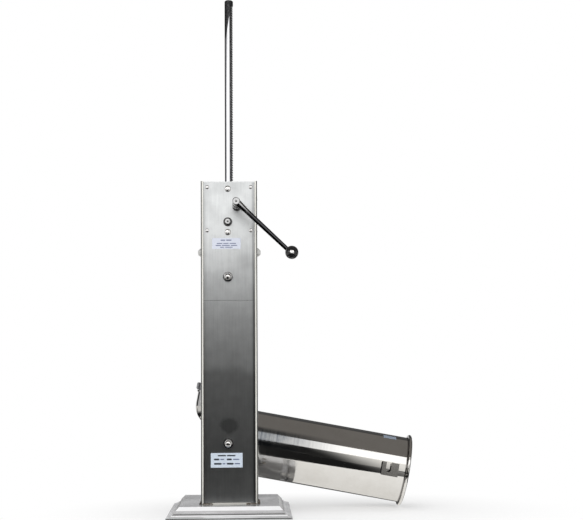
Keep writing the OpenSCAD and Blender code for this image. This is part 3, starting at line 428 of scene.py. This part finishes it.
def weld_metal(name):
    """Heat-tinted bead: straw, brown and blue over rippled metal."""
    s = Shader(name, 1.0, 0.35, (0.4, 0.3, 0.2))
    heat = s.noise(130.0, 4.0, 0.6)
    spots = s.noise(420.0, 3.0, 0.6)
    warm = s.mix(s.span(heat, 0.35, 0.62, 0.0, 1.0), (0.24, 0.19, 0.14), (0.66, 0.63, 0.57))
    base = s.mix(s.span(spots, 0.45, 0.65, 0.0, 0.85), warm, (0.06, 0.05, 0.05))
    return s.set(Base_Color=base, Roughness=s.span(spots, 0.3, 0.7, 0.25, 0.55),
                 Normal=s.bump(spots, 0.5, 0.0004))


def label_film(name, color):
    """Printed label sheet with a satin face."""
    s = Shader(name, 0.0, 0.38, color)
    fleck = s.noise(1500.0, 2.0, 0.5)
    age = s.noise(30.0, 3.0, 0.5)
    base = s.mix(s.span(age, 0.3, 0.7, 0.0, 0.35), color, shades(color, 0.86))
    return s.set(Base_Color=base, Roughness=s.span(fleck, 0.3, 0.7, 0.32, 0.44),
                 Normal=s.bump(fleck, 0.05, 0.00005))


def black_ball(name):
    """Glossy black knob with swirls and scratches from handling."""
    s = Shader(name, 0.0, 0.08, (0.008, 0.008, 0.009))
    swirl = s.noise(60.0, 4.0, 0.6)
    scratch = s.hair((500.0, 2500.0, 500.0), 2.0, 0.7)
    rough = s.math("ADD", s.span(swirl, 0.4, 0.75, 0.04, 0.16), s.span(scratch, 0.55, 0.8, 0.0, 0.1))
    return s.set(Roughness=rough, Normal=s.bump(swirl, 0.04, 0.0004), Coat_Weight=0.5, Coat_Roughness=0.04)


def dress(material, *names):
    """Gives the CAD nodes this material."""
    for name in names:
        data = nodes[name].data
        data.materials.clear()
        data.materials.append(material)


STEEL = (0.785, 0.80, 0.80)
panel_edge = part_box("lower_back_panel")[1].x
column_low, column_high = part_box("column_channel")
hem = column_high.x - panel_edge
foot_strip = column_low.z + 3.6 * MM         # top of the pale strip along the column's foot
dip = math.radians(10.6)                     # how far the cylinder's axis leans below the horizontal
rim = max(v.co.x * math.cos(dip) - v.co.z * math.sin(dip) for v in nodes["cylinder_tube"].data.vertices)
rack_low, rack_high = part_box("rack")
shaft_low, shaft_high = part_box("fast_shaft")
fastener = turned_steel("fastener", (0.82, 0.81, 0.80), 0.14)
ink_pale = label_film("ink_pale", (0.09, 0.11, 0.22))
ink_dark = label_film("ink_dark", (0.03, 0.035, 0.05))

dress(hemmed_sheet("column_steel", STEEL, panel_edge, hem, foot_strip), "column_channel")
dress(panel_sheet("panel_steel", STEEL), "upper_back_panel", "lower_back_panel")
dress(brushed_steel("head_steel", STEEL, 0.34, 0.3), "head_shroud", "top_cover")
dress(pressed_sheet("base_steel", (0.92, 0.92, 0.93)), "base_tray")
dress(barrel_sheet("tube_steel", (0.78, 0.77, 0.75), dip, rim), "cylinder_tube")
dress(polished_steel("barrel_steel", (0.80, 0.79, 0.77), 0.045, 0.25),
      "cylinder_bottom", "outlet_elbow", "piston_plate")
dress(polished_steel("bracket_steel", (0.50, 0.49, 0.47), 0.12, 0.3, (700.0, 700.0, 60.0)),
      "pivot_bracket", "latch_bracket")
dress(polished_steel("bright_nut", (0.88, 0.87, 0.86), 0.04, 0.05, (300.0, 300.0, 300.0)),
      "cap_nuts", "knob_stud")
dress(painted_reflection_chrome("crank_chrome", (shaft_low + shaft_high) / 2), "crank_arm")
dress(rack_steel("rack_plating", rack_low.x, rack_high.z), "rack")
dress(fastener, "foot_nuts", "corner_screws", "case_bolts", "shroud_screws", "cover_screws",
      "cap_washers", "pivot_bolt", "pivot_washer", "latch_stud", "through_spacers",
      "crank_set_screw", "piston_screw")
dress(turned_steel("gear_steel", (0.42, 0.42, 0.43), 0.30), "rack_pinion", "fast_gear", "slow_gear",
      "drive_keys", "slow_gear_pin", "fast_shaft_clip", "slow_shaft_clips")
dress(turned_steel("shaft_steel", (0.62, 0.62, 0.62), 0.20), "fast_shaft", "slow_shaft")
dress(turned_steel("ring_steel", (0.34, 0.34, 0.35), 0.20), "ring_nut")
dress(cast_metal("case_metal", (0.50, 0.50, 0.50)), "gear_case", "case_rear_plate")
dress(bronze("bush_bronze"), "rack_bush_top", "rack_bush_bottom", "fast_front_bush", "slow_front_bush")
dress(plain_polymer("dark_bush", (0.03, 0.03, 0.03), 0.35), "fast_rear_bush", "slow_rear_bush")
dress(plain_polymer("foot_rubber", (0.02, 0.02, 0.02), 0.7, 500.0, 0.3), "base_feet", "centre_pad")
dress(plain_polymer("silicone", (0.55, 0.55, 0.53), 0.42, 900.0, 0.1), "piston_seal", "outlet_gasket")
dress(plain_polymer("valve_plastic", (0.72, 0.72, 0.70), 0.35), "air_valve", "valve_button")
dress(label_film("label_upper", (0.62, 0.65, 0.74)), "upper_label")
dress(label_film("label_lower", (0.58, 0.65, 0.74)), "lower_label")
dress(label_film("label_small", (0.22, 0.26, 0.32)), "cylinder_label")
dress(black_ball("black_ball"), "ball_knob")


def round_edges(node, width, segments, angle):
    """Rounds a CAD node's edges sharper than angle, in degrees, inside its own shape."""
    mod = nodes[node].modifiers.new("edge", "BEVEL")
    mod.width = width
    mod.segments = segments
    mod.limit_method = "ANGLE"
    mod.angle_limit = math.radians(angle)
    mod.harden_normals = False
    mod.use_clamp_overlap = True


# widths in millimetres, angles in degrees
for node, width, segments, angle in (
        ("base_tray", 1.0, 3, 20), ("column_channel", 0.4, 2, 32), ("upper_back_panel", 0.4, 2, 32),
        ("lower_back_panel", 0.4, 2, 32), ("head_shroud", 0.3, 2, 32), ("top_cover", 0.7, 2, 32),
        ("latch_bracket", 0.8, 2, 32), ("pivot_bracket", 0.8, 2, 32), ("crank_arm", 0.5, 2, 40),
        ("cap_nuts", 0.4, 2, 40)):
    round_edges(node, width * MM, segments, angle)


def smooth_cad():
    """Shades curved CAD faces smooth and keeps real edges sharp."""
    for obj in nodes.values():
        if obj.type == "MESH":
            for polygon in obj.data.polygons:
                polygon.use_smooth = True
            obj.data.set_sharp_from_angle(angle=math.radians(28))


smooth_cad()


# ---------------------------------------------------------------- added pieces

def add_mesh(name, bm, material):
    """Adds an object made from bm, and frees bm."""
    mesh = bpy.data.meshes.new(name)
    bm.to_mesh(mesh)
    bm.free()
    mesh.materials.append(material)
    obj = bpy.data.objects.new(name, mesh)
    bpy.context.scene.collection.objects.link(obj)
    return obj


def new_piece(name, bm, material, body, smooth=True):
    """Adds a piece of closed shells, made from bm, that rides on body."""
    bmesh.ops.recalc_face_normals(bm, faces=bm.faces)
    piece = add_mesh(name, bm, material)
    for polygon in piece.data.polygons:
        polygon.use_smooth = smooth
    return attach(piece, body)


def skin(bm, rings):
    """Joins rings of vertices, of equal length, into a closed shell."""
    for a, b in zip(rings, rings[1:]):
        for k in range(len(a)):
            j = (k + 1) % len(a)
            bm.faces.new((a[k], a[j], b[j], b[k]))
    bm.faces.new(rings[0][::-1])
    bm.faces.new(rings[-1])


def rounded_bar(bm, x0, x1, z0, z1, y, thick):
    """Printed bar with round ends on a face that looks towards -Y."""
    r = min(x1 - x0, z1 - z0) / 2
    steps = 5
    outline = []
    for cx, cz, start in ((x1 - r, z1 - r, 0), (x0 + r, z1 - r, 90),
                          (x0 + r, z0 + r, 180), (x1 - r, z0 + r, 270)):
        for i in range(steps + 1):
            a = math.radians(start + 90 * i / steps)
            outline.append((cx + r * math.cos(a), cz + r * math.sin(a)))
    skin(bm, [[bm.verts.new((x, depth, z)) for x, z in outline] for depth in (y - thick, y)])


def print_bars(name, node, rows, material):
    """Plain bars printed on a label. Each row is its height on the label, its bars' height, and each
    bar's start and end, all as shares of the label."""
    lo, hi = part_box(node)
    bm = bmesh.new()
    wide, tall = hi.x - lo.x, hi.z - lo.z
    for centre, height, pairs in rows:
        z = lo.z + tall * centre
        for start, end in pairs:
            rounded_bar(bm, lo.x + wide * start, lo.x + wide * end,
                        z - tall * height / 2, z + tall * height / 2, lo.y, 0.05 * MM)
    new_piece(name, bm, material, "frame", smooth=False)


print_bars("upper_label_print", "upper_label", [
    (0.80, 0.09, [(0.30, 0.46), (0.49, 0.68)]),
    (0.50, 0.07, [(0.16, 0.36), (0.39, 0.58), (0.61, 0.84)]),
    (0.32, 0.07, [(0.12, 0.31), (0.34, 0.62), (0.65, 0.88)]),
    (0.15, 0.07, [(0.28, 0.42), (0.45, 0.72)])], ink_pale)
print_bars("lower_label_print", "lower_label", [
    (0.82, 0.09, [(0.22, 0.48), (0.51, 0.78)]),
    (0.56, 0.12, [(0.10, 0.27), (0.50, 0.66)]),
    (0.26, 0.12, [(0.10, 0.34), (0.50, 0.72)])], ink_dark)
print_bars("lower_label_rules", "lower_label", [
    (0.56, 0.07, [(0.30, 0.42), (0.70, 0.90)]),
    (0.26, 0.07, [(0.37, 0.46), (0.75, 0.92)])], ink_pale)


def weld_bead(bm, start, end, up, out, width, seed):
    """Lumpy fillet bead from start to end, in the corner between the up and out directions."""
    random.seed(seed)
    along = end - start
    count = max(4, round(along.length / (0.9 * MM)))
    around = 7
    rings = []
    for i in range(count + 1):
        t = i / count
        ripple = 0.86 + 0.14 * abs(math.sin(i * 1.35)) + random.uniform(-0.05, 0.05)
        closing = min(1.0, 0.35 + 6 * min(t, 1 - t))
        r = width * ripple * closing
        ring = []
        for k in range(around + 1):
            a = math.pi / 2 * k / around
            bulge = r * (0.80 + 0.20 * abs(math.cos(2 * a)))
            ring.append(bm.verts.new(start + along * t + bulge * (out * math.cos(a) + up * math.sin(a))))
        ring.append(bm.verts.new(start + along * t))
        rings.append(ring)
    skin(bm, rings)


def foot_welds():
    """Beads where the column's sides, back and front meet the base."""
    lo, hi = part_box("column_channel")
    floor_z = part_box("base_tray")[1].z
    up, back, front = Vector((0, 0, 1)), Vector((0, -1, 0)), Vector((0, 1, 0))
    bm = bmesh.new()
    for side in (-1, 1):
        x, outward = hi.x * side, Vector((side, 0, 0))
        near, far = x - side * 3 * MM, x - side * 25 * MM
        for x0, y0, x1, y1, out, width, seed in (
                (x, lo.y + 2 * MM, x, lo.y + 30 * MM, outward, 4 * MM, 3 + side),
                (x, hi.y - 26 * MM, x, hi.y - 4 * MM, outward, 4 * MM, 7 + side),
                (near, lo.y, far, lo.y, back, 3 * MM, 11 + side),
                (far, hi.y, near, hi.y, front, 4 * MM, 17 + side)):
            weld_bead(bm, Vector((x0, y0, floor_z)), Vector((x1, y1, floor_z)), up, out, width, seed)
    piece = new_piece("foot_weld_beads", bm, weld_metal("weld_metal"), "frame")
    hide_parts("foot_welds")


foot_welds()


def coil_spring(turns=3.5, wire=0.5 * MM):
    """Wound spring under the valve's button, with a mesh of its own."""
    lo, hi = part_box("valve_spring")
    centre = (lo + hi) / 2
    height = hi.z - lo.z
    radius = (hi.x - lo.x) / 2 - wire
    steps, sides = round(turns * 32), 10
    bm = bmesh.new()
    rings = []
    for i in range(steps + 1):
        a = 2 * math.pi * turns * i / steps
        out = Vector((math.cos(a), math.sin(a), 0.0))
        rise = wire + (height - 2 * wire) * i / steps
        middle = Vector((centre.x, centre.y, lo.z + rise)) + out * radius
        rings.append([bm.verts.new(middle + wire * (out * math.cos(b) + Vector((0, 0, math.sin(b)))))
                      for b in (2 * math.pi * k / sides for k in range(sides))])
    skin(bm, rings)
    piece = new_piece("valve_coil", bm, fastener, "ram")
    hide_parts("valve_spring")
    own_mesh(piece)


coil_spring()


# ---------------------------------------------------------------- floor, lights, camera

MIRRORED_WHITE = 0.65                        # share of plain white that mirrors see in the floor
DARK_FLOOR = (0.012, 0.012, 0.012)           # the parts of the floor that mirrors see as dark
FRONT_EDGE = 0.165                           # how far in front of the origin the pale floor reaches


def floor():
    """White paper floor. Mirrors see it pale near the object and dark further off, so that polished
    parts get dark bands; the camera sees it fade to pure white."""
    s = Shader("floor_paper", 0.0, 0.9, (0.90, 0.90, 0.90))
    path = s.new("ShaderNodeLightPath").outputs
    x, y = s.axis("X"), s.axis("Y")
    front = s.product(s.math("LESS_THAN", y, -FRONT_EDGE),
                      s.span(x, 0.28, 0.60, 1.0, 0.45, smooth=True),
                      s.span(x, -0.75, -0.50, 0.25, 1.0, smooth=True))
    rear_line = s.math("ADD", y, s.product(x, 0.22))
    behind = s.product(s.math("GREATER_THAN", rear_line, 0.172), s.span(y, 0.5, 1.0, 0.9, 0.3))
    beside = s.product(s.math("GREATER_THAN", s.math("ABSOLUTE", s.math("ADD", x, -0.03)), 0.43),
                       s.span(s.math("ABSOLUTE", x), 0.6, 0.9, 1.0, 0.35))
    far = s.math("MAXIMUM", s.math("MAXIMUM", front, behind), beside)
    away = s.vector("LENGTH", s.stretch((1.0, 1.4, 0.0), s.offset((-0.17, 0.0, 0.0)))).outputs["Value"]
    faded = s.span(away, 0.28, 0.62, 0.45, 1.0, smooth=True)
    surface = s.bsdf.outputs[0]
    for factor, level in ((s.product(path["Is Glossy Ray"], MIRRORED_WHITE), (1.0, 0.98, 0.94)),
                          (s.product(far, path["Is Glossy Ray"]), DARK_FLOOR),
                          (s.product(faded, path["Is Camera Ray"]), (1.0, 1.0, 1.0))):
        glow = s.new("ShaderNodeEmission")
        s.put(glow.inputs["Color"], level)
        blend = s.new("ShaderNodeMixShader")
        for socket, value in zip(blend.inputs, (factor, surface, glow.outputs[0])):
            s.put(socket, value)
        surface = blend.outputs[0]
    out = next(n for n in s.tree.nodes if n.type == "OUTPUT_MATERIAL")
    s.put(out.inputs["Surface"], surface)
    bm = bmesh.new()
    bmesh.ops.create_grid(bm, x_segments=8, y_segments=8, size=9.0)
    add_mesh("floor", bm, s.mat)


floor()


def world():
    """White to the camera, even white to dull surfaces, and to bright ones a studio: dark in front,
    pale behind and low at the sides, with a dim ceiling."""
    studio = bpy.data.worlds.new("studio")
    bpy.context.scene.world = studio
    studio.use_nodes = True
    studio.node_tree.nodes.clear()
    w = Nodes(studio.node_tree)
    direction = w.new("ShaderNodeTexCoord").outputs["Generated"]
    x, y, z = (w.axis(letter, direction) for letter in "XYZ")
    front, low_behind, backdrop = (0.009, 0.010, 0.012), (0.80, 0.80, 0.81), (0.08, 0.08, 0.08)
    low_side, rear_side, ceiling = (0.50, 0.50, 0.51), (0.03, 0.03, 0.03), (0.16, 0.15, 0.14)
    behind = w.mix(w.span(z, 0.12, 0.15, smooth=True), low_behind, backdrop)
    around = w.mix(w.span(y, 0.55, 0.85, smooth=True), front, behind)
    side = w.mix(w.span(y, 0.08, 0.24, smooth=True), low_side, rear_side)
    around = w.mix(w.span(w.math("ABSOLUTE", x), 0.66, 0.86, smooth=True), around, side)
    # the ceiling comes down less far at the back
    rise = w.math("ADD", w.product(w.math("MAXIMUM", y, 0.0), -0.6), z)
    mirrored = w.mix(w.span(rise, 0.20, 0.36, smooth=True), around, ceiling)
    path = w.new("ShaderNodeLightPath").outputs
    seen = w.mix(path["Is Glossy Ray"], (0.85, 0.85, 0.85), mirrored)
    seen = w.mix(path["Is Camera Ray"], seen, (1.0, 1.0, 1.0))
    background = w.new("ShaderNodeBackground")
    w.put(background.inputs["Color"], seen)
    w.put(w.new("ShaderNodeOutputWorld").inputs["Surface"], background.outputs[0])


world()


def softbox(name, centre, target, width, height, radiance, glossy=True):
    """Rectangular light that aims at target; radiance is how bright it looks in a mirror."""
    data = bpy.data.lights.new(name, "AREA")
    data.shape = "RECTANGLE"
    data.size = width
    data.size_y = height
    data.energy = radiance * math.pi * width * height
    light = bpy.data.objects.new(name, data)
    light.location = centre
    light.rotation_euler = (Vector(target) - Vector(centre)).to_track_quat("-Z", "Y").to_euler()
    light.visible_camera = False
    light.visible_glossy = glossy
    bpy.context.scene.collection.objects.link(light)


LIGHT_PLANE = -1.29                          # where the softbox and the card stand, in Y

softbox("front_softbox", (-0.6, LIGHT_PLANE, 1.09), (-0.6, 0.0, 1.09), 4.4, 0.94, 1.3)


def slanted_card():
    """White card under the softbox, seen only in mirrors; its left edge leans, so the dark band tapers."""
    bottom, top, right = -0.60, 0.638, 1.70
    bm = bmesh.new()
    bm.faces.new([bm.verts.new((x, LIGHT_PLANE, z))
                  for x, z in ((0.18, top), (0.27, bottom), (right, bottom), (right, top))])
    s = Shader("card_white", 0.0, 0.9, (0.0, 0.0, 0.0))
    glow = s.span(s.axis("X"), 0.29, 0.62, 0.02, 0.95, smooth=True)
    card = add_mesh("slanted_card", bm, s.set(Emission_Color=(1.0, 0.985, 0.95), Emission_Strength=glow))
    card.visible_camera = False
    card.visible_diffuse = False
    card.visible_shadow = False


slanted_card()
softbox("top_light", (0.2, 0.3, 2.6), (0.0, 0.0, 0.3), 1.6, 1.6, 1.0, glossy=False)


def camera():
    """Stands where the fit of the object's proportions puts it: on the crank side, a little to the
    right, tilted up, and rolled to match the photo's lean. Angles are in radians."""
    place = Vector((54.7, -2769.0, 320.0)) * MM
    yaw, pitch, roll = 0.0285, 0.0791, -0.0065
    data = bpy.data.cameras.new("camera")
    data.sensor_width = 36.0
    data.lens = 79.16
    data.clip_end = 50.0
    obj = bpy.data.objects.new("camera", data)
    turn = (Matrix.Rotation(-yaw, 4, "Z") @ Matrix.Rotation(math.pi / 2 + pitch, 4, "X")
            @ Matrix.Rotation(roll, 4, "Z"))
    obj.matrix_world = Matrix.Translation(place) @ turn
    bpy.context.scene.collection.objects.link(obj)
    bpy.context.scene.camera = obj


camera()

bpy.context.scene.view_settings.view_transform = "Standard"
bpy.context.scene.view_settings.look = "None"
